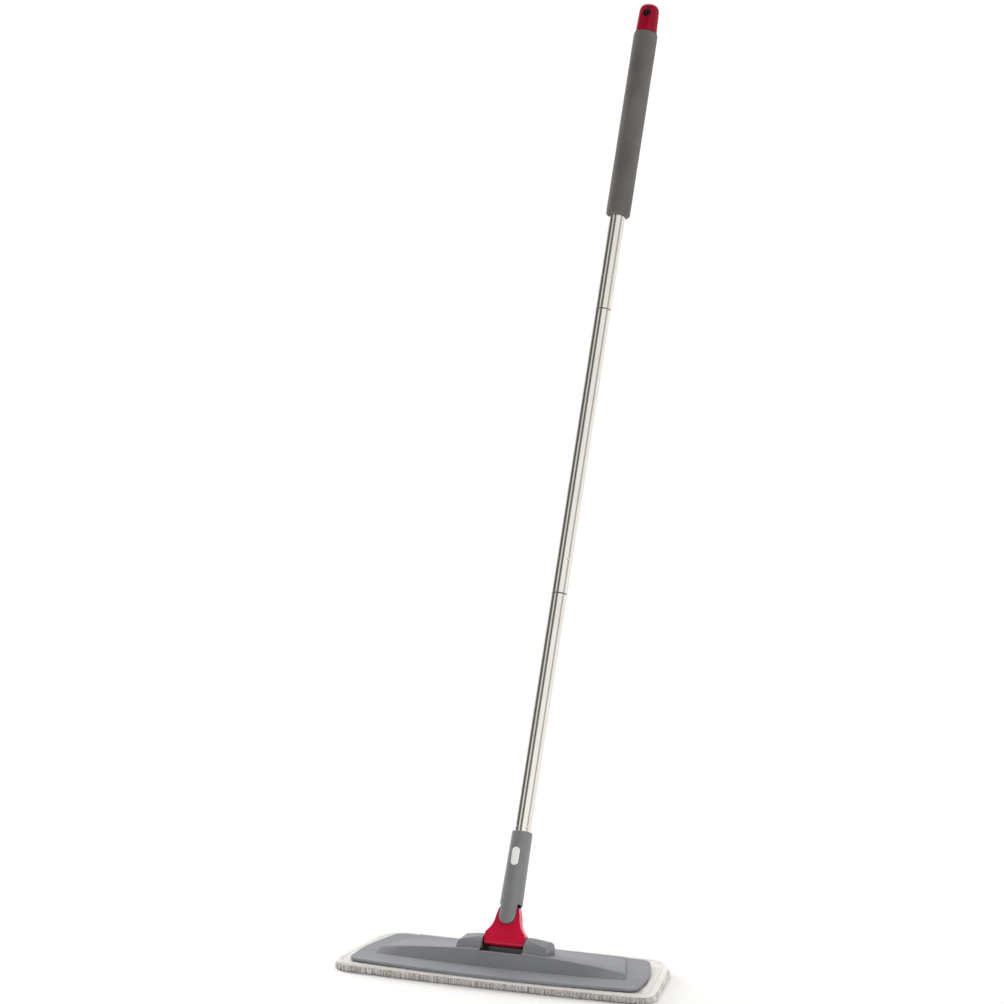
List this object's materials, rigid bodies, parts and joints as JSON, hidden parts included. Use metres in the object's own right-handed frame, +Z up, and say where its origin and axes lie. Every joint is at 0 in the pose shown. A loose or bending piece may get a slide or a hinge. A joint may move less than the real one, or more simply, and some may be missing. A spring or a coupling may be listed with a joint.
{
  "type": "flat mop",
  "caption": "Flat floor mop: sectional steel pole with foam grip and hang cap, swivelling fork and yoke, tilting plate with a washable pile pad.",
  "frame": {"origin": "The middle of the hand grip, on the pole's axis (mount hand_grip). The head stands flat, 977 mm below it.", "axes": "+Z up from the floor, +X along the head's long side, +Y towards the back, the side the pole leans to."},
  "size_m": [0.4038, 0.6076, 1.1219],
  "materials": {
    "red_plastic": "gloss",
    "grip_foam": "matte",
    "polished_steel": "polished",
    "natural_nylon": "satin",
    "grey_plastic": "satin",
    "white_plastic": "satin",
    "spring_steel": "satin",
    "plate_plastic": "satin",
    "hook_tape": "matte",
    "pile_fabric": "matte",
    "foam_core": "matte",
    "white_fabric": "matte"
  },
  "bodies": {
    "handle": {"hang_cap": "red_plastic", "grip_sleeve": "grip_foam", "upper_tube": "polished_steel", "middle_tube": "polished_steel", "lower_tube": "polished_steel", "upper_joint_nut": "natural_nylon", "upper_joint_stud": "natural_nylon", "lower_joint_nut": "natural_nylon", "lower_joint_stud": "natural_nylon", "pole_insert": "natural_nylon", "swivel_socket": "grey_plastic", "button_spring": "spring_steel", "swivel_pin": "spring_steel", "swivel_pin_plug": "grey_plastic", "swivel_washer_front": "natural_nylon", "swivel_washer_rear": "natural_nylon"},
    "release_button": {"release_button": "white_plastic"},
    "yoke": {"yoke": "red_plastic"},
    "head": {"top_plate": "plate_plastic", "hook_strip_front": "hook_tape", "hook_strip_rear": "hook_tape", "hook_strip_left": "hook_tape", "hook_strip_right": "hook_tape", "tilt_pin": "spring_steel", "tilt_pin_plug_left": "plate_plastic", "tilt_pin_plug_right": "plate_plastic", "pad_pile": "pile_fabric", "pad_core": "foam_core", "pad_cloth": "white_fabric", "pad_binding": "white_fabric"}
  },
  "joints": [
    {"name": "button_press", "type": "slide", "parent": "handle", "child": "release_button", "axis": [0, 0.8949, -0.4462], "range_m": [0, 0.0025], "stiffness_N_per_m": 600, "springref_m": -0.002, "deforming": ["button_spring"]},
    {"name": "swivel", "type": "hinge", "parent": "handle", "child": "yoke", "pos_m": [0, -0.45334, -0.90925], "axis": [0, 0.8949, -0.4462], "range_deg": [-75, 75]},
    {"name": "tilt", "type": "hinge", "parent": "yoke", "child": "head", "pos_m": [0, -0.46717, -0.937], "axis": [1, 0, 0], "range_deg": [-106, 53]}
  ]
}
